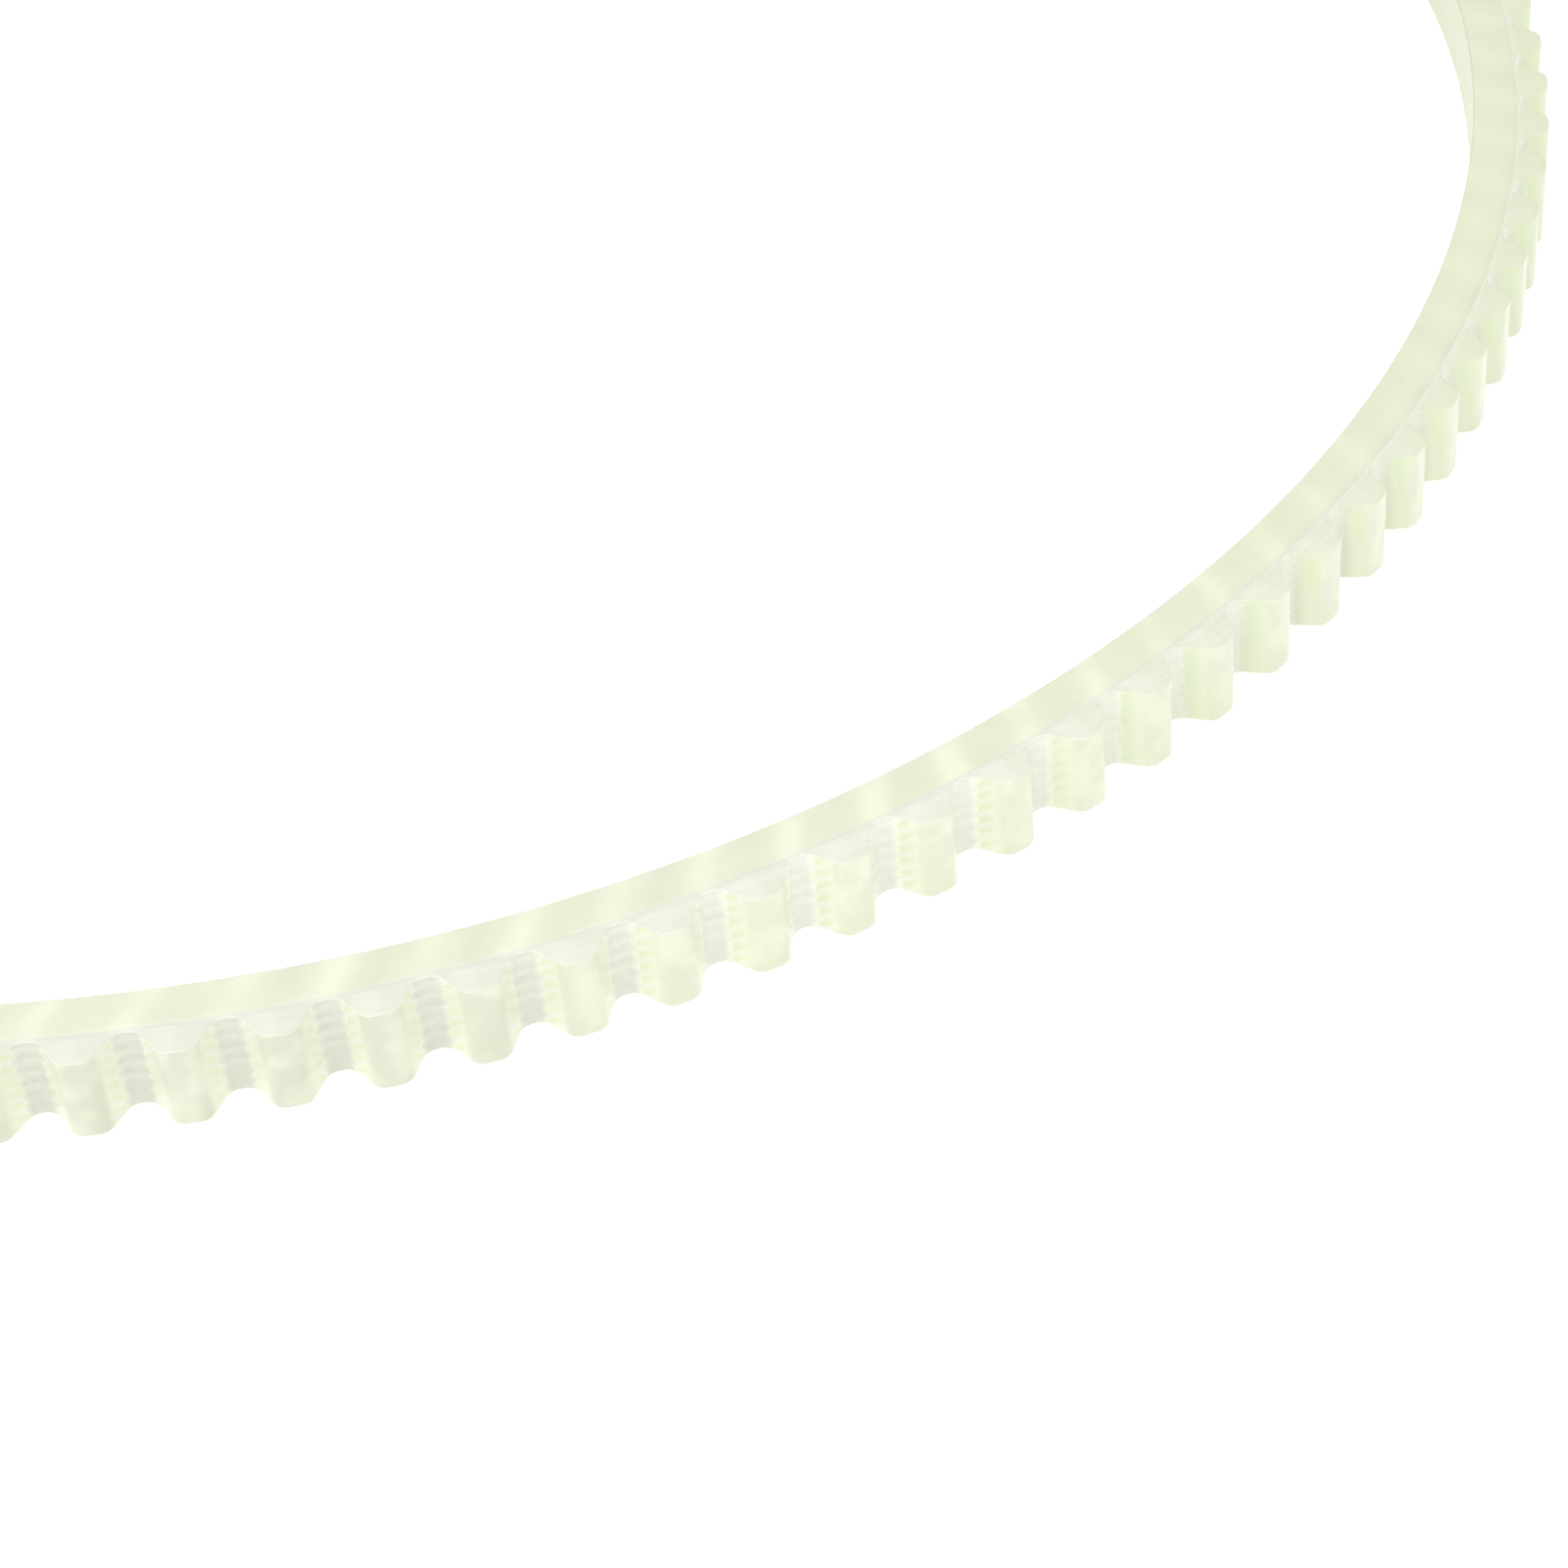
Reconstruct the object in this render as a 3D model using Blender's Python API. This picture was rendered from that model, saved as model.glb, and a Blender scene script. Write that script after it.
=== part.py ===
"""Endless timing belt: a round loop on its edge, teeth outward, smooth back inward.

The belt is laid up in three layers: a thick smooth backing, six tension cords at the
pitch line, and a toothed layer. A real belt bends everywhere. Here it bends at four
grooves, 90 degrees apart, about hinge lines that cross the cords, and the backing
ends there in a notch that gives its inner side room to close. The loop is opened
halfway along its rear right quarter, where nothing bends.
"""

import math

import bmesh
import bpy

MM = 0.001

# Driving dimensions, in millimetres and degrees.
TEETH = 112
PITCH = 5.0
WIDTH = 5.2
TOOTH_HEIGHT = 1.9
BACK_THICKNESS = 2.9          # from the groove floor to the smooth back
CORD_TO_FLOOR = 0.57          # from the cords' centres to the groove floor
CORD_DIAMETER = 0.5
CORD_COUNT = 6
CORD_SPACING = 0.87
LAYER_GAP = 0.08              # from a cord to the layer on either side
TOOTH_BASE = 0.76 * PITCH     # where the flanks would meet the floor
TOOTH_TIP = 0.32 * PITCH      # where the flanks would meet the tip
ROOT_FILLET = 0.18 * PITCH
TIP_ROUND = 0.16 * PITCH
ROOT_STEPS = 3
TIP_STEPS = 3
SHARP_ANGLE = 35.0            # edges that turn more than this stay sharp
BEND_LIMIT = 30.0             # most that one hinge line turns, either way
END_GAP = 0.20                # from an end to its hinge line or to the opening
BEND_MARGIN = 1.5             # degrees the notches are opened beyond that

PITCH_RADIUS = TEETH * PITCH / (2.0 * math.pi)
FLOOR_RADIUS = PITCH_RADIUS + CORD_TO_FLOOR
BACK_RADIUS = FLOOR_RADIUS - BACK_THICKNESS
LAYER_HALF = 0.5 * CORD_DIAMETER + LAYER_GAP

# Each sector runs from one groove to another, counted anticlockwise from +X, and turns
# about the hinge line at its third number. The front left sector holds still.
SECTORS = (
    ("front_left", 56, 84, None),
    ("rear_left", 28, 56, 56),
    ("front_right", 84, 112, 84),
    ("rear_right_near", 0, 14, 0),
    ("rear_right_far", 14, 28, 28),
)
HINGE_GROOVES = (0, 28, 56, 84, 112)

BACKING_COLOUR = (0.66, 0.74, 0.38, 1.0)
TOOTH_COLOUR = (0.76, 0.82, 0.60, 1.0)
CORD_COLOUR = (0.62, 0.62, 0.66, 1.0)
CAST_ROUGHNESS = 0.35
STEEL_ROUGHNESS = 0.45


def clear_scene():
    for thing in list(bpy.data.objects):
        bpy.data.objects.remove(thing, do_unlink=True)


def make_material(name, colour, roughness, metallic):
    material = bpy.data.materials.new(name)
    material.use_nodes = True
    shader = material.node_tree.nodes["Principled BSDF"]
    shader.inputs["Base Color"].default_value = colour
    shader.inputs["Roughness"].default_value = roughness
    shader.inputs["Metallic"].default_value = metallic
    return material


def groove_angle(groove):
    return 2.0 * math.pi * groove / TEETH


def on_circle(radius, angle):
    return (radius * math.cos(angle) * MM, radius * math.sin(angle) * MM)


def end_trim(groove, depth):
    """Length that an end gives up, at a depth under the cords' centres."""
    if groove not in HINGE_GROOVES:
        return END_GAP
    swing = math.radians(0.5 * BEND_LIMIT + BEND_MARGIN)
    return END_GAP + max(depth, 0.0) * math.tan(swing)


def arc_angles(first, last, radius):
    """Angles of one layer's corners at a radius, one at each groove."""
    depth = PITCH_RADIUS - radius
    angles = [groove_angle(groove) for groove in range(first, last + 1)]
    angles[0] += end_trim(first, depth) / radius
    angles[-1] -= end_trim(last, depth) / radius
    return angles


def rounded_corner(before, corner, after, radius, steps):
    """Points of an arc of the given radius that rounds off a corner."""
    ax, ay = before[0] - corner[0], before[1] - corner[1]
    bx, by = after[0] - corner[0], after[1] - corner[1]
    a_len, b_len = math.hypot(ax, ay), math.hypot(bx, by)
    ax, ay, bx, by = ax / a_len, ay / a_len, bx / b_len, by / b_len
    half = 0.5 * math.acos(max(-1.0, min(1.0, ax * bx + ay * by)))
    reach = radius / math.tan(half)
    mid_x, mid_y = ax + bx, ay + by
    mid_len = math.hypot(mid_x, mid_y)
    away = radius / math.sin(half)
    centre = (corner[0] + mid_x / mid_len * away, corner[1] + mid_y / mid_len * away)
    start = (corner[0] + ax * reach, corner[1] + ay * reach)
    end = (corner[0] + bx * reach, corner[1] + by * reach)
    a0 = math.atan2(start[1] - centre[1], start[0] - centre[0])
    a1 = math.atan2(end[1] - centre[1], end[0] - centre[0])
    turn = math.remainder(a1 - a0, 2.0 * math.pi)
    points = []
    for i in range(steps + 1):
        angle = a0 + turn * i / steps
        points.append((centre[0] + radius * math.cos(angle), centre[1] + radius * math.sin(angle)))
    return points


def tooth_profile():
    """One tooth as (along, above the floor), centred on 0, from root to root."""
    base, tip, top = 0.5 * TOOTH_BASE, 0.5 * TOOTH_TIP, TOOTH_HEIGHT
    root = rounded_corner((-0.5 * PITCH, 0.0), (-base, 0.0), (-tip, top), ROOT_FILLET, ROOT_STEPS)
    crown = rounded_corner((-base, 0.0), (-tip, top), (tip, top), TIP_ROUND, TIP_STEPS)
    left = root + crown
    return left + [(-along, above) for along, above in reversed(left)]


def toothed_edge(first, last):
    """Outer edge of a tooth layer, from one groove to another."""
    points = [on_circle(FLOOR_RADIUS, groove_angle(first) + end_trim(first, 0.0) / FLOOR_RADIUS)]
    for tooth in range(first, last):
        middle = groove_angle(tooth + 0.5)
        for along, above in tooth_profile():
            points.append(on_circle(FLOOR_RADIUS + above, middle + along / FLOOR_RADIUS))
    points.append(on_circle(FLOOR_RADIUS, groove_angle(last) - end_trim(last, 0.0) / FLOOR_RADIUS))
    return points


def smooth_edge(first, last, radius):
    return [on_circle(radius, angle) for angle in arc_angles(first, last, radius)]


def prism(name, outline, material):
    """Solid whose plan is an anticlockwise outline, as wide as the belt, on Z = 0."""
    work = bmesh.new()
    base = work.faces.new([work.verts.new((x, y, 0.0)) for x, y in reversed(outline)])
    grown = bmesh.ops.extrude_face_region(work, geom=[base], use_keep_orig=True)
    lifted = [item for item in grown["geom"] if isinstance(item, bmesh.types.BMVert)]
    bmesh.ops.translate(work, verts=lifted, vec=(0.0, 0.0, WIDTH * MM))
    bmesh.ops.recalc_face_normals(work, faces=work.faces)
    mesh = bpy.data.meshes.new(name)
    work.to_mesh(mesh)
    work.free()
    mesh.shade_smooth()
    mesh.set_sharp_from_angle(angle=math.radians(SHARP_ANGLE))
    mesh.materials.append(material)
    return bpy.data.objects.new(name, mesh)


def backing(sector, first, last, material):
    inner = smooth_edge(first, last, BACK_RADIUS)
    outer = smooth_edge(first, last, PITCH_RADIUS - LAYER_HALF)
    return prism("backing_" + sector, outer + inner[::-1], material)


def tooth_layer(sector, first, last, material):
    inner = smooth_edge(first, last, PITCH_RADIUS + LAYER_HALF)
    outer = toothed_edge(first, last)
    return prism("tooth_layer_" + sector, outer + inner[::-1], material)


def cord(sector, number, first, last, material):
    """One turn of the tension member, at the pitch line; turn 1 is the lowest."""
    name = "tension_cord_{}_{}".format(number, sector)
    height = 0.5 * WIDTH + CORD_SPACING * (number - 0.5 * (CORD_COUNT + 1))
    angles = arc_angles(first, last, PITCH_RADIUS)
    curve = bpy.data.curves.new(name, "CURVE")
    curve.dimensions = "3D"
    curve.bevel_depth = 0.5 * CORD_DIAMETER * MM
    curve.bevel_resolution = 1
    curve.use_fill_caps = True
    spline = curve.splines.new("POLY")
    spline.points.add(len(angles) - 1)
    for point, angle in zip(spline.points, angles):
        x, y = on_circle(PITCH_RADIUS, angle)
        point.co = (x, y, height * MM, 1.0)
    spline.use_smooth = True
    curve.materials.append(material)
    return bpy.data.objects.new(name, curve)


def place(pieces, sector, hinge_groove):
    """Puts a sector's pieces under an empty that stands on the sector's hinge line."""
    pivot = bpy.data.objects.new("pivot_" + sector, None)
    if hinge_groove is not None:
        x, y = on_circle(PITCH_RADIUS, groove_angle(hinge_groove))
        pivot.location = (x, y, 0.5 * WIDTH * MM)
    bpy.context.collection.objects.link(pivot)
    for piece in pieces:
        piece.parent = pivot
        piece.location = -pivot.location
        bpy.context.collection.objects.link(piece)


def main():
    clear_scene()
    backing_pu = make_material("backing_polyurethane", BACKING_COLOUR, CAST_ROUGHNESS, 0.0)
    tooth_pu = make_material("tooth_polyurethane", TOOTH_COLOUR, CAST_ROUGHNESS, 0.0)
    steel = make_material("cord_steel", CORD_COLOUR, STEEL_ROUGHNESS, 1.0)
    for sector, first, last, hinge_groove in SECTORS:
        pieces = [
            backing(sector, first, last, backing_pu),
            tooth_layer(sector, first, last, tooth_pu),
        ]
        for number in range(1, CORD_COUNT + 1):
            pieces.append(cord(sector, number, first, last, steel))
        place(pieces, sector, hinge_groove)


main()
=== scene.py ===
"""Looks of the timing belt: a round loop of clear cast polyurethane on its edge.

The belt is drawn as four stretches, each centred on one hinge line of the frame and
bent smoothly across it. A stretch has a smooth backing, a layer of teeth and six
twisted steel cords. The backing and the teeth are two open shells that meet along a
fine seam, so together they wall in one clear body. Lengths are in metres.
"""

import math

import bpy
import numpy as np
from mathutils import Matrix, Vector


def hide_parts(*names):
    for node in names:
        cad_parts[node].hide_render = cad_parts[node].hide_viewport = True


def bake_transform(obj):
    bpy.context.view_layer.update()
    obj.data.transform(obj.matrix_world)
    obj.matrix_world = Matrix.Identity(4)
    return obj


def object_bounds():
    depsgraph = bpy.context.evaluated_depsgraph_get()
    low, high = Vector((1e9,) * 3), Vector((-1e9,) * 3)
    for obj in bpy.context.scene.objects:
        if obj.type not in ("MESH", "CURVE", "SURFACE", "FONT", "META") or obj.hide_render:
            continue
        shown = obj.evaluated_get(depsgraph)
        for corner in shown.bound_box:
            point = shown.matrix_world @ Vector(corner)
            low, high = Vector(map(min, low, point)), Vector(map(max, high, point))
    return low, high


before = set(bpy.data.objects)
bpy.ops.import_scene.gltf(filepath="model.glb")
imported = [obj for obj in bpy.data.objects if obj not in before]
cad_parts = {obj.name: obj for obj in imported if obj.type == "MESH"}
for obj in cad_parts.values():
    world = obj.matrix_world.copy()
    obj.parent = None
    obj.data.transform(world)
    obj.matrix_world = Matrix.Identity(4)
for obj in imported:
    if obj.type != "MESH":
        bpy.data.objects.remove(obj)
cad_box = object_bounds()

# The belt's own sizes, as the frame's source has them.
TEETH = 112
PITCH = 0.005
TOOTH_HEIGHT = 0.0019
BACK_THICKNESS = 0.0029
CORD_TO_FLOOR = 0.00057
CORD_DIAMETER = 0.0005
CORD_COUNT = 6
CORD_SPACING = 0.00087
TOOTH_BASE = 0.76 * PITCH
TOOTH_TIP = 0.32 * PITCH
ROOT_FILLET = 0.18 * PITCH
TIP_ROUND = 0.16 * PITCH
PITCH_RADIUS = TEETH * PITCH / (2.0 * math.pi)
FLOOR_RADIUS = PITCH_RADIUS + CORD_TO_FLOOR
BACK_RADIUS = FLOOR_RADIUS - BACK_THICKNESS
TIP = TOOTH_HEIGHT / PITCH    # a tooth's height in pitches, as the materials measure it

low, high = cad_box
MID_HEIGHT = 0.5 * (low.z + high.z)
LOWEST_CORD = MID_HEIGHT - 0.5 * CORD_SPACING * (CORD_COUNT - 1)

# What the frame leaves out.
EDGE_ROUND = 0.00009          # the knife-cut edges are only just broken
SEAM_DEPTH = 0.00012          # the teeth are cast onto the backing this far under the floors
SEAM_RADIUS = FLOOR_RADIUS - SEAM_DEPTH
SEAM_LIP = 0.00002            # the seam is a groove this deep and twice as wide
RIPPLE = 0.00003              # the cords show through the groove floors by this much
RIPPLE_TOP = 0.6 * TOOTH_HEIGHT  # and not at all from this height up a tooth

# Each stretch: its hinge's groove, and the bodies before and after it, anticlockwise.
# Grooves are counted from +X, and the count starts anew between the left and the front.
STRETCHES = {
    "right": (0, "front_right", "rear_right_near"),
    "rear": (28, "rear_right_far", "rear_left"),
    "left": (56, "rear_left", "front_left"),
    "front": (-28, "front_left", "front_right"),
}
REACH = 14                    # grooves from a hinge line to either end of its stretch

# How finely the surfaces are drawn.
ROOT_STEPS = 7
FLANK_STEPS = 3
TIP_STEPS = 7
CROWN_STEPS = 2
LEVELS = 42                   # across the width, over the cords' ripples
BACK_LEVELS = 6
BAND_STEPS = 7                # from the seam to the back, on a cut edge
SIDE_STEPS = 4                # from the seam to the teeth's outline, on a cut edge
ROUND_STEPS = 3
FLAT_EDGE_ANGLE = math.radians(50.0)

# The cast. A clearness is the share of light that goes in.
CAST_IOR = 1.45
BACKING_CLEARNESS = 0.25
TOOTH_CLEARNESS = 0.22
FLOOR_CLEARNESS = 0.28        # over the groove floors
MOULD_RELIEF = 0.00006
MOULD_BUMP = 0.25             # strength of that relief in the shading
SEAM_COLOUR = (0.962, 0.972, 0.925)
GLOW_PHASE = 0.55             # moves the backing's glows along the belt, in pitches
GLINT_PLACE = 0.36            # where a tooth's cut face carries its painted highlight, in pitches
STRIPE_RISE = 0.75            # the cords' stripes climb this steeply up the flanks
LIGHT_DRIFT_PERIOD = 56.0             # the painted light and shade drift this slowly along the belt, in pitches

# The cords.
CORD_SIDES = 12
CORD_STRANDS = 3
CORD_LAY = 0.0032             # length of one turn of the strands
CORD_STEPS_PER_LAY = 8
CORD_END_GAP = 0.004          # a cord stops this far short of its stretch's ends, in pitches
STRAND_RELIEF = 0.16          # depth of the hollows between strands, as a share of the radius

# Camera: where it stands round the loop's axis, and how it is turned.
CAMERA_REACH = 0.22610
CAMERA_BEARING = math.radians(-34.19)
CAMERA_HEIGHT = 0.13519
LOOK_BEARING = math.radians(136.50)
LOOK_DOWN = math.radians(41.485)
CAMERA_ROLL = math.radians(-5.766)
LENS = 85.80                  # millimetres, like the sensor's width
SENSOR_WIDTH = 36.0
NEAREST_SEEN = 0.01

# Studio.
FLOOR_REACH = 3.0
FLOOR_DROP = 0.0001           # the floor lies this far under the belt
FLOOR_SIDES = 96
LAMP_DISTANCE = 0.45
LAMP_SIZE = 0.35
LAMP_POWER = 0.45


def point_on_belt(along, radius, height):
    """A place in the frame, from a length along the belt in pitches."""
    angle = 2.0 * math.pi * along / TEETH
    return (radius * math.cos(angle), radius * math.sin(angle), height)


def arc(before, corner, after, radius, steps):
    """Points that round off a corner, without the straight runs on either side."""
    corner, before, after = Vector(corner), Vector(before), Vector(after)
    a = (before - corner).normalized()
    b = (after - corner).normalized()
    half = 0.5 * a.angle(b)
    centre = corner + (a + b).normalized() * radius / math.sin(half)
    start = corner + a * radius / math.tan(half) - centre
    end = corner + b * radius / math.tan(half) - centre
    turn = start.angle_signed(end)
    return [centre + Matrix.Rotation(-turn * i / steps, 2) @ start for i in range(steps + 1)]


def run(start, end, steps):
    """Points strictly between two points."""
    return [start.lerp(end, i / steps) for i in range(1, steps)]


def pitch_profile():
    """(along, above the floor) over one pitch, from one groove's middle up to the next."""
    base, tip, top = 0.5 * TOOTH_BASE, 0.5 * TOOTH_TIP, TOOTH_HEIGHT
    middle = Vector((-0.5 * PITCH, 0.0))
    crest = Vector((0.0, top))
    root = arc(middle, (-base, 0.0), (-tip, top), ROOT_FILLET, ROOT_STEPS)
    crown = arc((-base, 0.0), (-tip, top), crest, TIP_ROUND, TIP_STEPS)
    rising = [middle] + root + run(root[-1], crown[0], FLANK_STEPS)
    rising += crown + run(crown[-1], crest, CROWN_STEPS)
    falling = [Vector((-p.x, p.y)) for p in reversed(rising)]
    return rising + [crest] + falling


def spread(start, end, steps):
    """Points from one (radius, height) to another, both included."""
    return [(start[0] + (end[0] - start[0]) * i / steps, start[1] + (end[1] - start[1]) * i / steps)
            for i in range(steps + 1)]


def rounding(centre, first_turn, size):
    """Quarter circle of (radius, height) points about a centre, anticlockwise."""
    turns = [math.radians(first_turn + 90.0 * i / ROUND_STEPS) for i in range(ROUND_STEPS + 1)]
    return [(centre[0] + size * math.cos(a), centre[1] + size * math.sin(a)) for a in turns]


def ripple(height):
    """1 over a cord, -1 between two cords."""
    return math.cos(2.0 * math.pi * (height - LOWEST_CORD) / CORD_SPACING)


def tooth_section(above):
    """Open line of (radius, height, is cut) round the teeth, from seam to seam."""
    outer = FLOOR_RADIUS + above
    inner = outer - EDGE_ROUND
    lip = SEAM_RADIUS + SEAM_LIP
    foot, head = low.z + EDGE_ROUND, high.z - EDGE_ROUND
    floor_share = max(0.0, 1.0 - above / RIPPLE_TOP) ** 2
    face = []
    for radius, height in spread((outer, foot), (outer, head), LEVELS):
        ends = min(height - foot, head - height) / EDGE_ROUND
        swell = RIPPLE * floor_share * ripple(height) * min(1.0, ends)
        face.append((radius + swell, height, 0.0))
    bottom = [(SEAM_RADIUS, low.z + SEAM_LIP)] + spread((lip, low.z), (inner, low.z), SIDE_STEPS)
    bottom += rounding((inner, foot), -90.0, EDGE_ROUND)[1:-1]
    top = rounding((inner, head), 0.0, EDGE_ROUND)[1:-1]
    top += spread((inner, high.z), (lip, high.z), SIDE_STEPS) + [(SEAM_RADIUS, high.z - SEAM_LIP)]
    return [(*p, 1.0) for p in bottom] + face + [(*p, 1.0) for p in top]


def backing_section():
    """Open line of (radius, height, is cut) round the backing, from seam to seam."""
    lip = SEAM_RADIUS - SEAM_LIP
    inner = BACK_RADIUS + EDGE_ROUND
    foot, head = low.z + EDGE_ROUND, high.z - EDGE_ROUND
    top = [(SEAM_RADIUS, high.z - SEAM_LIP)] + spread((lip, high.z), (inner, high.z), BAND_STEPS)
    face = rounding((inner, head), 90.0, EDGE_ROUND)[1:-1]
    face += spread((BACK_RADIUS, head), (BACK_RADIUS, foot), BACK_LEVELS)
    face += rounding((inner, foot), 180.0, EDGE_ROUND)[1:-1]
    bottom = spread((inner, low.z), (lip, low.z), BAND_STEPS) + [(SEAM_RADIUS, low.z + SEAM_LIP)]
    return [(*p, 1.0) for p in top] + [(*p, 0.0) for p in face] + [(*p, 1.0) for p in bottom]


def sheet_mesh(name, rows, closed):
    """Surface through rows of equally many points; closed makes it a capped tube."""
    count = len(rows[0])
    faces = []
    for row in range(len(rows) - 1):
        a, b = row * count, (row + 1) * count
        for i in range(count if closed else count - 1):
            j = (i + 1) % count
            faces.append((a + i, b + i, b + j, a + j))
    if closed:
        last = (len(rows) - 1) * count
        faces.append(tuple(range(count)))
        faces.append(tuple(last + i for i in reversed(range(count))))
    mesh = bpy.data.meshes.new(name)
    mesh.from_pydata([place for row in rows for place in row], [], faces)
    mesh.update()
    return mesh


def store(mesh, name, kind, values):
    """Keeps values on a mesh's points for its material to read."""
    layer = mesh.attributes.new(name, kind, "POINT")
    field = "value" if kind == "FLOAT" else "vector"
    layer.data.foreach_set(field, np.asarray(values, np.float32).ravel())


def store_rest(mesh):
    """Keeps the places of a mesh's points at rest, so that its noise moves with it."""
    store(mesh, "rest", "FLOAT_VECTOR", [v.co for v in mesh.vertices])


def shell(name, stations, material):
    """Object through sections of the belt, each with its length along it in pitches."""
    rows, where, cut = [], [], []
    for along, section in stations:
        rows.append([point_on_belt(along, radius, height) for radius, height, _ in section])
        for radius, height, is_cut in section:
            where.append((along, (radius - FLOOR_RADIUS) / PITCH, height / PITCH))
            cut.append(is_cut)
    mesh = sheet_mesh(name, rows, False)
    store(mesh, "belt", "FLOAT_VECTOR", where)
    store_rest(mesh)
    store(mesh, "cut", "FLOAT", cut)
    mesh.shade_smooth()
    mesh.set_sharp_from_angle(angle=FLAT_EDGE_ANGLE)
    return new_object(name, mesh, material)


def new_object(name, mesh, material):
    """A mesh in one material, placed in the scene."""
    mesh.materials.append(material)
    piece = bpy.data.objects.new(name, mesh)
    bpy.context.collection.objects.link(piece)
    return piece


def stations(hinge, section_at):
    """Sections along one stretch, close enough for the teeth's rounded outline."""
    profile = pitch_profile()
    found = []
    for tooth in range(hinge - REACH, hinge + REACH):
        last_tooth = tooth == hinge + REACH - 1
        for p in profile if last_tooth else profile[:-1]:
            found.append((tooth + 0.5 + p.x / PITCH, section_at(p.y)))
    return found


def teeth(side, hinge, material):
    """One stretch of the toothed layer."""
    return shell("teeth_" + side, stations(hinge, tooth_section), material)


def smooth_backing(side, hinge, material):
    """One stretch of the backing."""
    section = backing_section()
    return shell("smooth_backing_" + side, stations(hinge, lambda above: section), material)


def twisted_cord(side, hinge, number, material):
    """One stretch of a turn of cord; every other turn is laid the opposite way."""
    height = LOWEST_CORD + CORD_SPACING * (number - 1)
    hand = 1.0 if number % 2 else -1.0
    laid = CORD_LAY / PITCH
    reach = REACH - CORD_END_GAP
    steps = int(2 * reach / laid * CORD_STEPS_PER_LAY)
    rings = []
    for i in range(steps + 1):
        along = hinge - reach + 2.0 * reach * i / steps
        twist = hand * 2.0 * math.pi * along / laid
        ring = []
        for k in range(CORD_SIDES):
            angle = 2.0 * math.pi * k / CORD_SIDES
            lobe = abs(math.cos(0.5 * CORD_STRANDS * (angle - twist)))
            radius = 0.5 * CORD_DIAMETER * (1.0 - STRAND_RELIEF * (1.0 - lobe))
            ring.append(point_on_belt(along, PITCH_RADIUS + radius * math.cos(angle),
                                      height + radius * math.sin(angle)))
        rings.append(ring)
    mesh = sheet_mesh("twisted_cord_{}_{}".format(number, side), rings, True)
    store_rest(mesh)
    mesh.shade_smooth()
    return new_object(mesh.name, mesh, material)


class Graph:
    """A material under construction, with short words for its common nodes."""

    def __init__(self, name):
        self.material = bpy.data.materials.new(name)
        self.material.use_nodes = True
        self.tree = self.material.node_tree
        self.shader = self.tree.nodes["Principled BSDF"]

    def feed(self, socket, value):
        """Links a socket, or sets a plain value."""
        if isinstance(value, bpy.types.NodeSocket):
            self.tree.links.new(value, socket)
        else:
            socket.default_value = value

    def set(self, **values):
        """Feeds the shader's own sockets, named with _ for a space."""
        for label, value in values.items():
            self.feed(self.shader.inputs[label.replace("_", " ")], value)

    def stored(self, name, output):
        """Values that store() kept on the mesh."""
        made = self.tree.nodes.new("ShaderNodeAttribute")
        made.attribute_name = name
        return made.outputs[output]

    def parts(self, vector):
        """The three numbers of a vector."""
        made = self.tree.nodes.new("ShaderNodeSeparateXYZ")
        self.feed(made.inputs[0], vector)
        return made.outputs[0], made.outputs[1], made.outputs[2]

    def math(self, operation, *values):
        made = self.tree.nodes.new("ShaderNodeMath")
        made.operation = operation
        for socket, value in zip(made.inputs, values):
            self.feed(socket, value)
        return made.outputs[0]

    def ramp(self, value, start, end, first=0.0, second=1.0):
        """Smooth step from first to second as a value goes from start to end."""
        made = self.tree.nodes.new("ShaderNodeMapRange")
        made.interpolation_type = "SMOOTHSTEP"
        for socket, given in zip(made.inputs, (value, start, end, first, second)):
            self.feed(socket, given)
        return made.outputs[0]

    def scaled(self, vector, scale):
        made = self.tree.nodes.new("ShaderNodeVectorMath")
        made.operation = "MULTIPLY"
        self.feed(made.inputs[0], vector)
        made.inputs[1].default_value = scale
        return made.outputs[0]

    def noise(self, vector, scale, detail=2.0):
        """Soft noise around 0.5."""
        made = self.tree.nodes.new("ShaderNodeTexNoise")
        self.feed(made.inputs["Vector"], vector)
        made.inputs["Scale"].default_value = scale
        made.inputs["Detail"].default_value = detail
        return made.outputs["Fac"]

    def mix(self, share, first, second):
        """The first colour at a share of 0, the second at 1."""
        made = self.tree.nodes.new("ShaderNodeMix")
        made.data_type = "RGBA"
        self.feed(made.inputs["Factor"], share)
        self.feed(made.inputs["A"], first)
        self.feed(made.inputs["B"], second)
        return made.outputs["Result"]

    def bump(self, height, distance, strength):
        made = self.tree.nodes.new("ShaderNodeBump")
        made.inputs["Distance"].default_value = distance
        made.inputs["Strength"].default_value = strength
        self.feed(made.inputs["Height"], height)
        self.tree.links.new(made.outputs[0], self.shader.inputs["Normal"])


def linear(red, green, blue):
    """Colour for a shader, from screen values between 0 and 1."""
    return tuple(c / 12.92 if c <= 0.04045 else ((c + 0.055) / 1.055) ** 2.4
                 for c in (red, green, blue)) + (1.0,)


def cast_surface(graph, rest):
    """Slow waviness and a fine tooth from the mould, bumped, and returned as two noises."""
    slow = graph.noise(rest, 450.0)
    fine = graph.noise(rest, 5200.0, 4.0)
    height = graph.math("ADD", slow, graph.math("MULTIPLY", fine, 0.35))
    graph.bump(height, MOULD_RELIEF, MOULD_BUMP)
    return slow, fine


def knife_marks(graph, belt):
    """Streaks along the belt, left on its cut edges by the knife."""
    return graph.noise(graph.scaled(belt, (2.0, 36.0, 36.0)), 1.0, 3.0)


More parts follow.
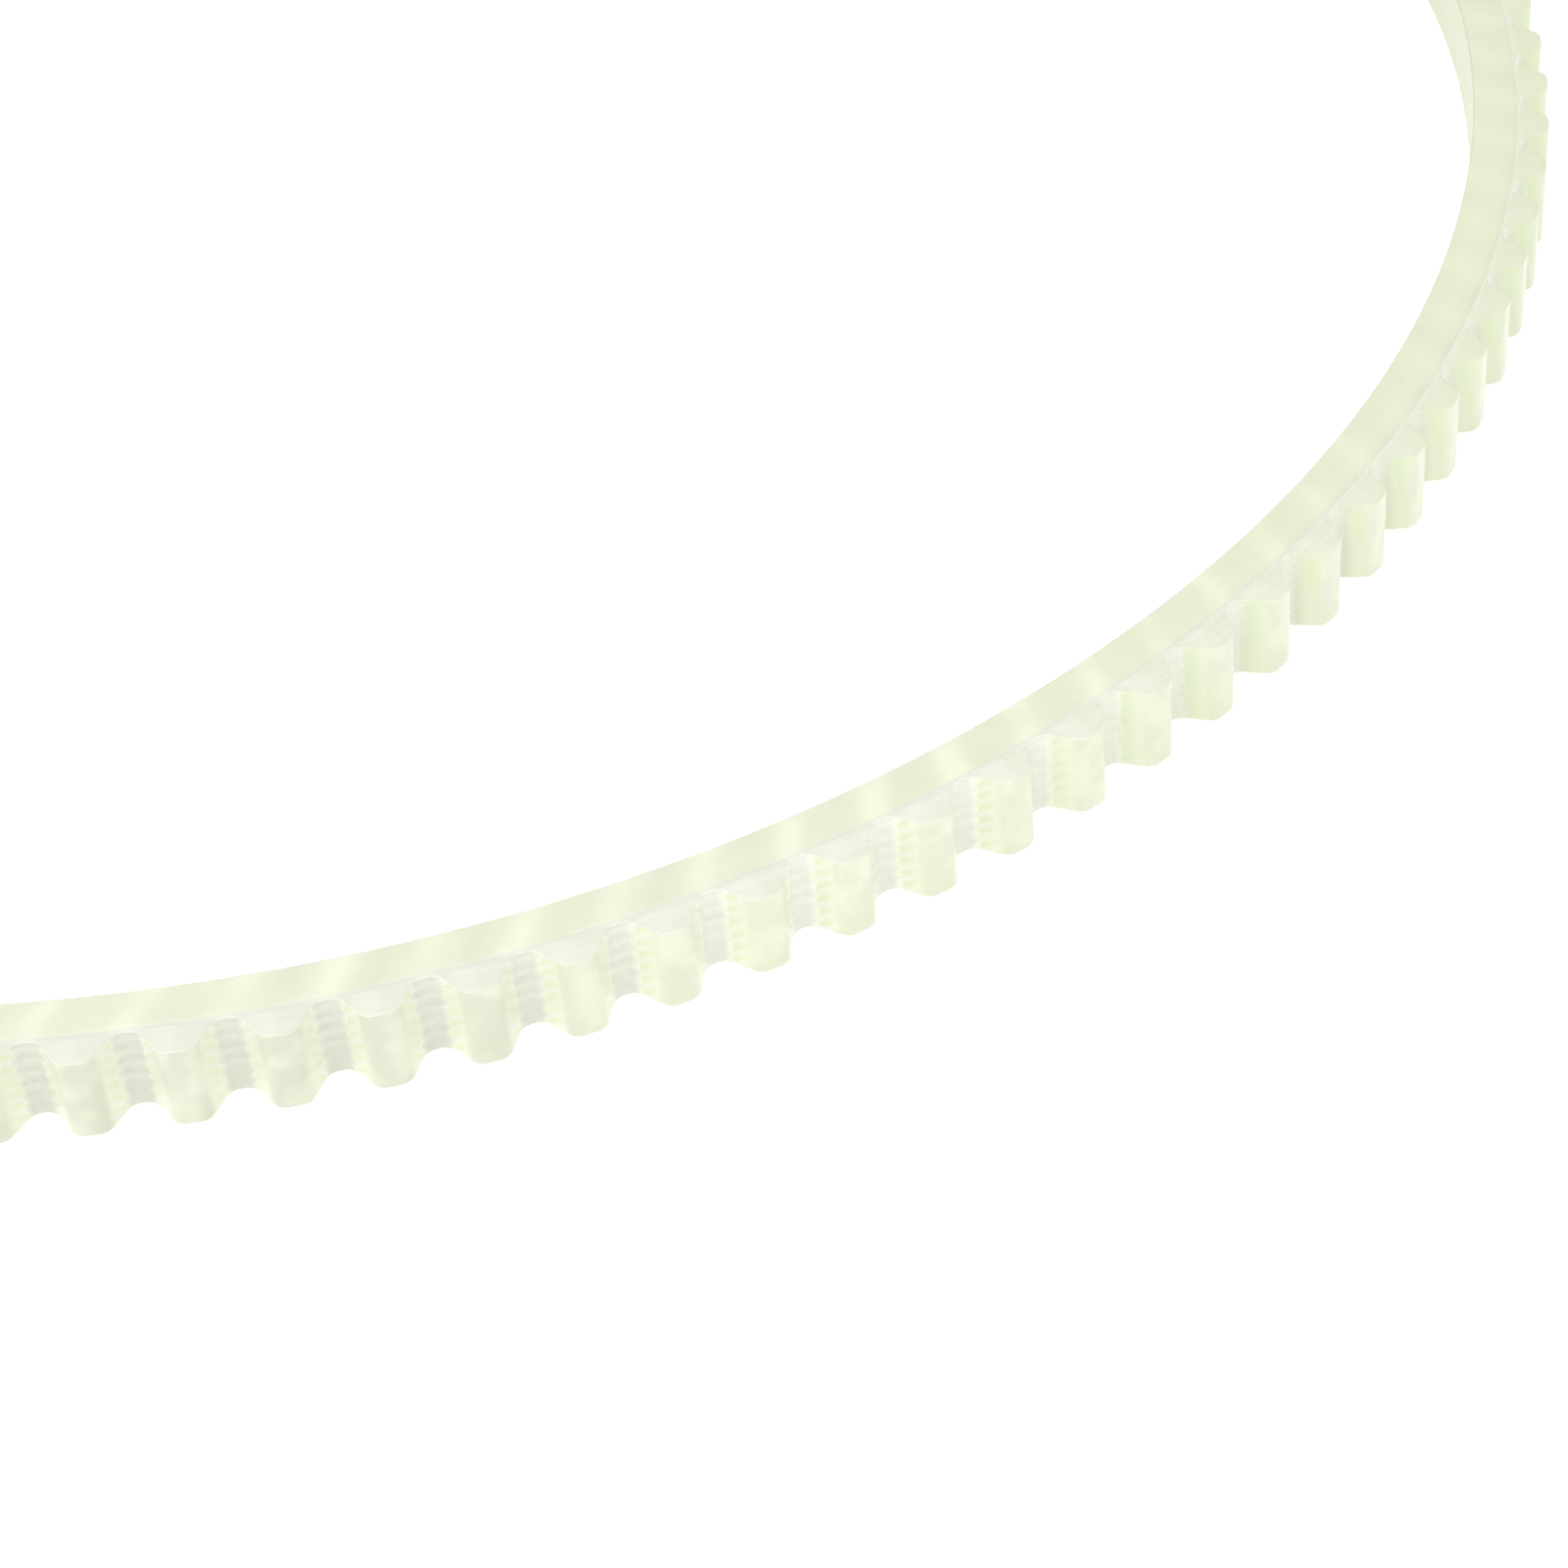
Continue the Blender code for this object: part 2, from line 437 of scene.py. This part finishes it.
def drift(graph, along):
    """0 where the cast is painted least yellow, 1 where it is painted most yellow-green: painted
    light and shade that change slowly round the loop.
    """
    turns = graph.math("MULTIPLY", graph.math("ADD", along, REACH), 2.0 * math.pi / LIGHT_DRIFT_PERIOD)
    return graph.math("MULTIPLY_ADD", graph.math("COSINE", turns), -0.5, 0.5)


class CastGraph(Graph):
    """A material of the cast, with the measures that both of its layers use."""

    def __init__(self, name):
        super().__init__(name)
        self.rest = self.stored("rest", "Vector")
        self.belt = self.stored("belt", "Vector")
        self.cut = self.stored("cut", "Fac")
        self.along, self.out, self.height = self.parts(self.belt)
        self.slow, self.fine = cast_surface(self, self.rest)
        self.streaks = knife_marks(self, self.belt)
        # Painted light and shade round the loop, as a drift from 0 to 1.
        self.painted_light_drift = drift(self, self.along)


def distance_from_glow(graph):
    """0 where painted light gathers in the backing, about 0.5 midway between two such places."""
    slant = graph.math("ADD", graph.along, graph.math("MULTIPLY", graph.out, 0.5))
    phase = graph.math("FRACT", graph.math("ADD", slant, GLOW_PHASE))
    aside = graph.math("ABSOLUTE", graph.math("SUBTRACT", phase, 0.5))
    return graph.math("MULTIPLY_ADD", graph.math("SUBTRACT", graph.slow, 0.5), 0.35, aside)


def gathered_light(graph, aside, patches):
    """How strongly the backing's painted glow shows, most at the least yellow end of the drift."""
    glow = graph.math("MULTIPLY", graph.ramp(aside, 0.0, 0.30, 1.0, 0.0),
                      graph.ramp(patches, 0.35, 0.60, 0.45, 1.0))
    return graph.math("MULTIPLY", glow, graph.ramp(graph.painted_light_drift, 0.3, 0.8, 0.95, 0.25))


def backing_edge(graph, aside, glow, patches):
    """The backing's cut edges: a painted glow, painted shade between the glows, knife streaks and a
    pale seam.
    """
    pale = graph.mix(graph.ramp(graph.slow, 0.3, 0.7), linear(0.946, 0.970, 0.866),
                     linear(0.966, 0.986, 0.890))
    yellow = graph.mix(graph.slow, linear(0.920, 0.945, 0.825), linear(0.935, 0.957, 0.845))
    shade = graph.mix(graph.painted_light_drift, pale, yellow)
    # Painted shade midway between the painted glows.
    painted_shade_between_glows = graph.math("MULTIPLY", graph.ramp(aside, 0.28, 0.50),
                      graph.ramp(patches, 0.42, 0.62, 0.0, 0.5))
    shade = graph.mix(painted_shade_between_glows, shade, linear(0.915, 0.932, 0.830))
    # Painted glow: light gathered in the cast, put into the colour.
    shade = graph.mix(glow, shade, linear(0.982, 1.000, 0.902))
    shade = graph.mix(graph.ramp(graph.streaks, 0.55, 0.75, 0.0, 0.25), shade,
                      linear(0.975, 0.980, 0.930))
    seam = graph.math("MULTIPLY", graph.ramp(graph.out, -0.075, -0.035),
                      graph.ramp(graph.painted_light_drift, 0.35, 0.80, 0.6, 0.2))
    return graph.mix(seam, shade, linear(*SEAM_COLOUR))


def backing_polyurethane():
    """Olive and darker on its back face, with a painted glow past each groove on its cut edges."""
    graph = CastGraph("backing_polyurethane")
    patches = graph.noise(graph.rest, 260.0)
    aside = distance_from_glow(graph)
    glow = gathered_light(graph, aside, patches)
    edge = backing_edge(graph, aside, glow, patches)
    face = graph.mix(graph.slow, linear(0.822, 0.845, 0.733), linear(0.845, 0.868, 0.758))
    graph.set(Base_Color=graph.mix(graph.cut, face, edge), IOR=CAST_IOR)
    graph.set(Transmission_Weight=graph.math("MULTIPLY_ADD", glow, -0.06, BACKING_CLEARNESS))
    graph.set(Roughness=graph.ramp(graph.fine, 0.3, 0.7, 0.28, 0.40))
    return graph.material


class ToothGraph(CastGraph):
    """The teeth's material, with the measures that its own functions share."""

    def __init__(self, name):
        super().__init__(name)
        self.uncut = self.math("SUBTRACT", 1.0, self.cut)
        self.smear = self.noise(self.scaled(self.belt, (9.0, 9.0, 22.0)), 1.0)
        self.blotches = self.noise(self.scaled(self.belt, (2.3, 2.3, 2.0)), 1.0)
        # Stages of the painted light drift, 1: in the least yellow stretch, which is painted grey
        # as shade; in the paler part; past that part; and where it is painted yellow-green.
        self.painted_grey_shade = self.ramp(self.painted_light_drift, 0.0, 0.20, 1.0, 0.0)
        self.early = self.ramp(self.painted_light_drift, 0.25, 0.55, 1.0, 0.0)
        self.midway = self.ramp(self.painted_light_drift, 0.20, 0.50)
        self.late = self.ramp(self.painted_light_drift, 0.35, 0.65)
        self.wave = cord_wave(self)
        # Height above the groove floor, with an uneven line.
        self.ragged = self.math("MULTIPLY_ADD", self.smear, 0.10 * TIP,
                                self.math("ADD", self.out, -0.05 * TIP))
        self.thick = tooth_share(self)


def cord_wave(graph):
    """A wave across the width, one period to a cord, that wanders a little."""
    above = graph.math("MAXIMUM", graph.out, 0.0)
    level = graph.math("MULTIPLY_ADD", above, -STRIPE_RISE, graph.height)
    turns = graph.math("MULTIPLY", level, 2.0 * math.pi * PITCH / CORD_SPACING)
    wander = graph.noise(graph.scaled(graph.belt, (1.7, 1.0, 2.6)), 1.0)
    return graph.math("SINE", graph.math("MULTIPLY_ADD", wander, 3.0, turns))


def tooth_share(graph):
    """0 over a groove's floor and 1 in a tooth, with an edge scalloped by the cords."""
    scallops = graph.math("MULTIPLY", graph.wave, graph.early)
    edge = graph.math("MULTIPLY_ADD", scallops, 0.02 * TIP, graph.ragged)
    return graph.math("MAXIMUM", graph.ramp(edge, 0.03 * TIP, 0.30 * TIP), graph.cut)


def flank_share(graph):
    """1 partway up a tooth's flanks, where the stripes and the painted green go; where the drift is
    painted yellow-green, a wedge narrow low down.
    """
    climbed = graph.math("MULTIPLY_ADD", graph.late, -0.25 * TIP, graph.ragged)
    low_down = graph.math("MULTIPLY", graph.ramp(graph.height, 0.1, 1.0, 1.0, 0.0), graph.late)
    wedge = graph.math("MULTIPLY_ADD", low_down, -0.45 * TIP, climbed)
    flank = graph.math("MULTIPLY", graph.ramp(wedge, 0.05 * TIP, 0.25 * TIP),
                       graph.ramp(climbed, 0.30 * TIP, 0.85 * TIP, 1.0, 0.0))
    return graph.math("MULTIPLY", flank, graph.uncut)


def milky_body(graph, flank):
    """The teeth's colour along the painted drift; on the flanks, the cast's green deepened as
    painted light, striped by the cords where pale.
    """
    pale = graph.mix(graph.slow, linear(0.960, 0.978, 0.885), linear(0.975, 0.988, 0.905))
    # Painted grey shade at the least yellow end of the drift.
    pale = graph.mix(graph.math("MULTIPLY", graph.painted_grey_shade, 0.6), pale,
                     linear(0.920, 0.936, 0.855))
    yellow = graph.mix(graph.slow, linear(0.930, 0.950, 0.846), linear(0.947, 0.963, 0.866))
    body = graph.mix(graph.painted_light_drift, pale, yellow)
    stripes = graph.ramp(graph.math("MULTIPLY_ADD", graph.smear, 1.6, graph.wave), -0.2, 1.8)
    stripes = graph.math("MAXIMUM", stripes, graph.midway)
    # Flank green: the cast's own tint, deepened as painted light that has come far through the
    # cast.
    green = graph.mix(graph.painted_light_drift, linear(0.945, 0.975, 0.850), linear(0.890, 0.935, 0.795))
    striped = graph.mix(stripes, linear(0.985, 0.995, 0.940), green)
    return graph.mix(graph.math("MULTIPLY", flank, 0.85), body, striped)


def tooth_cut_face(graph):
    """A tooth's cut edges: streaked by the knife, with one painted highlight on each tooth."""
    edge = graph.mix(graph.ramp(graph.streaks, 0.42, 0.66), linear(0.942, 0.960, 0.888),
                     linear(0.986, 0.994, 0.952))
    edge = graph.mix(graph.math("MULTIPLY", graph.painted_light_drift, 0.9), edge,
                     linear(0.912, 0.935, 0.812))
    # Painted grey shade on the cut edges at the least yellow end of the drift.
    edge = graph.mix(graph.math("MULTIPLY", graph.painted_grey_shade, 0.5), edge,
                     linear(0.925, 0.940, 0.870))
    # Painted highlight on the cut face, one to a tooth.
    aside = graph.math("SUBTRACT", graph.math("FRACT", graph.along), GLINT_PLACE)
    glint = graph.ramp(graph.math("ABSOLUTE", aside), 0.04, 0.22, 0.8, 0.0)
    glint = graph.math("MULTIPLY", glint, graph.ramp(graph.painted_light_drift, 0.3, 0.8, 1.0, 0.3))
    return graph.mix(graph.math("MULTIPLY", glint, graph.blotches), edge,
                     linear(0.990, 1.000, 0.940))


def pale_seam(graph, shade):
    """Lightens the cut edges next to the backing."""
    seam = graph.math("MULTIPLY", graph.ramp(graph.out, 0.030, -0.005), graph.cut)
    return graph.mix(graph.math("MULTIPLY", seam, 0.6), shade, linear(*SEAM_COLOUR))


def painted_shade_at_roots(graph, shade):
    """Paints grey shade on the foot of each tooth, where the drift is painted yellow-green."""
    root = graph.math("MULTIPLY",
                      graph.ramp(graph.ragged, 0.20 * TIP, 0.55 * TIP, 1.0, 0.0), graph.late)
    root = graph.math("MULTIPLY", root, graph.uncut)
    return graph.mix(graph.math("MULTIPLY", root, 0.7), shade, linear(0.905, 0.912, 0.835))


def groove_floor(graph):
    """Lilac from the steel below; deepest where painted grey shade lies, at the least yellow end of
    the drift.
    """
    lilac = graph.mix(graph.painted_grey_shade, linear(0.982, 0.986, 0.946), linear(0.912, 0.916, 0.870))
    return graph.mix(graph.midway, lilac, linear(0.988, 0.996, 0.945))


def painted_shade_on_crowns(graph, shade, flank):
    """Paints shade on the teeth's crowns in blotches, but not where a flank is green."""
    crown = graph.math("MULTIPLY", graph.ramp(graph.out, 0.60 * TIP, 0.95 * TIP), graph.uncut)
    crown = graph.math("MULTIPLY", crown, graph.ramp(graph.blotches, 0.35, 0.60, 0.45, 1.0))
    green_side = graph.math("MULTIPLY", flank, graph.late)
    crown = graph.math("SUBTRACT", crown, graph.math("MULTIPLY", crown, green_side))
    crown_shade = graph.mix(graph.painted_grey_shade, linear(0.898, 0.917, 0.822), linear(0.850, 0.866, 0.784))
    crown_shade = graph.mix(graph.late, crown_shade, linear(0.908, 0.920, 0.838))
    return graph.mix(crown, shade, crown_shade)


def clearness(graph):
    """How much light goes in: most over the groove floors, least along their paler rims."""
    rim = graph.math("MULTIPLY", graph.thick, graph.math("SUBTRACT", 1.0, graph.thick))
    rim = graph.math("MULTIPLY", rim, graph.early)
    plain = graph.ramp(graph.thick, 0.0, 1.0, FLOOR_CLEARNESS, TOOTH_CLEARNESS)
    return graph.math("MULTIPLY_ADD", rim, -0.5, plain)


def tooth_polyurethane():
    """Clear over the groove floors, where the cords show, and milky in the teeth."""
    graph = ToothGraph("tooth_polyurethane")
    flank = flank_share(graph)
    shade = graph.mix(graph.cut, milky_body(graph, flank), tooth_cut_face(graph))
    shade = painted_shade_at_roots(graph, pale_seam(graph, shade))
    shade = graph.mix(graph.thick, groove_floor(graph), shade)
    shade = painted_shade_on_crowns(graph, shade, flank)
    graph.set(Base_Color=shade, IOR=CAST_IOR, Transmission_Weight=clearness(graph))
    graph.set(Roughness=graph.math("MULTIPLY_ADD", graph.fine, 0.10,
                                   graph.ramp(graph.thick, 0.0, 1.0, 0.18, 0.26)))
    return graph.material


def stranded_steel():
    """Fine bright wire, greyed with adhesive."""
    graph = Graph("stranded_steel")
    rest = graph.stored("rest", "Vector")
    wire = graph.noise(rest, 9000.0)
    graph.set(Base_Color=graph.mix(wire, linear(0.93, 0.91, 0.95), linear(0.97, 0.96, 0.98)))
    graph.set(Roughness=graph.ramp(wire, 0.3, 0.7, 0.40, 0.55))
    graph.set(Metallic=0.4)
    return graph.material


def dress(piece, nodes):
    """Bakes a stretch's placement into its mesh and hides the frame's parts that it stands in for.
    """
    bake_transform(piece)
    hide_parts(*nodes)


def build_belt():
    """The whole belt: backing, teeth and cords of each stretch."""
    backing_pu, tooth_pu, steel = backing_polyurethane(), tooth_polyurethane(), stranded_steel()
    for side, (hinge, before, after) in STRETCHES.items():
        backing = smooth_backing(side, hinge, backing_pu)
        dress(backing,
              ["backing_" + before, "backing_" + after])
        toothed = teeth(side, hinge, tooth_pu)
        dress(toothed,
              ["tooth_layer_" + before, "tooth_layer_" + after])
        for number in range(1, CORD_COUNT + 1):
            cord = twisted_cord(side, hinge, number, steel)
            dress(cord,
                  ["tension_cord_{}_{}".format(number, sector) for sector in (before, after)])


def light_table():
    """Plain pale floor that glows evenly by itself."""
    bpy.ops.mesh.primitive_circle_add(vertices=FLOOR_SIDES, radius=FLOOR_REACH,
                                      fill_type="NGON", location=(0.0, 0.0, low.z - FLOOR_DROP))
    table = bpy.context.object
    table.name = "floor"
    graph = Graph("pale_floor")
    graph.set(Base_Color=linear(0.96, 0.96, 0.96), Roughness=0.6,
              Emission_Color=linear(1.0, 1.0, 1.0), Emission_Strength=0.45)
    table.data.materials.append(graph.material)


def softbox(name, bearing, lift):
    """Square lamp that faces the middle of the loop."""
    place = Vector((LAMP_DISTANCE * math.cos(lift) * math.cos(bearing),
                    LAMP_DISTANCE * math.cos(lift) * math.sin(bearing),
                    LAMP_DISTANCE * math.sin(lift)))
    data = bpy.data.lights.new(name, "AREA")
    data.shape = "SQUARE"
    data.size = LAMP_SIZE
    data.energy = LAMP_POWER
    lamp = bpy.data.objects.new(name, data)
    lamp.location = place
    lamp.rotation_euler = (-place).to_track_quat("-Z", "Y").to_euler()
    bpy.context.collection.objects.link(lamp)


def studio():
    """White surroundings and one soft lamp."""
    world = bpy.data.worlds.new("studio")
    bpy.context.scene.world = world
    world.use_nodes = True
    background = world.node_tree.nodes["Background"]
    background.inputs["Color"].default_value = (1.0, 1.0, 1.0, 1.0)
    background.inputs["Strength"].default_value = 1.0
    softbox("key", bearing=math.radians(-75.0), lift=math.radians(52.0))


def photo_camera():
    """The photo's own viewpoint."""
    data = bpy.data.cameras.new("camera")
    data.lens = LENS
    data.sensor_width = SENSOR_WIDTH
    data.clip_start = NEAREST_SEEN
    forward = Vector((math.cos(LOOK_BEARING) * math.cos(LOOK_DOWN),
                      math.sin(LOOK_BEARING) * math.cos(LOOK_DOWN),
                      -math.sin(LOOK_DOWN)))
    level = Vector((math.sin(LOOK_BEARING), -math.cos(LOOK_BEARING), 0.0))
    upward = level.cross(forward)
    right = level * math.cos(CAMERA_ROLL) + upward * math.sin(CAMERA_ROLL)
    up = upward * math.cos(CAMERA_ROLL) - level * math.sin(CAMERA_ROLL)
    turn = Matrix((right, up, -forward)).transposed().to_4x4()
    place = (CAMERA_REACH * math.cos(CAMERA_BEARING),
             CAMERA_REACH * math.sin(CAMERA_BEARING), CAMERA_HEIGHT)
    camera = bpy.data.objects.new("camera", data)
    camera.matrix_world = Matrix.Translation(place) @ turn
    bpy.context.collection.objects.link(camera)
    bpy.context.scene.camera = camera


bpy.context.scene.view_settings.view_transform = "Standard"
build_belt()
light_table()
studio()
photo_camera()
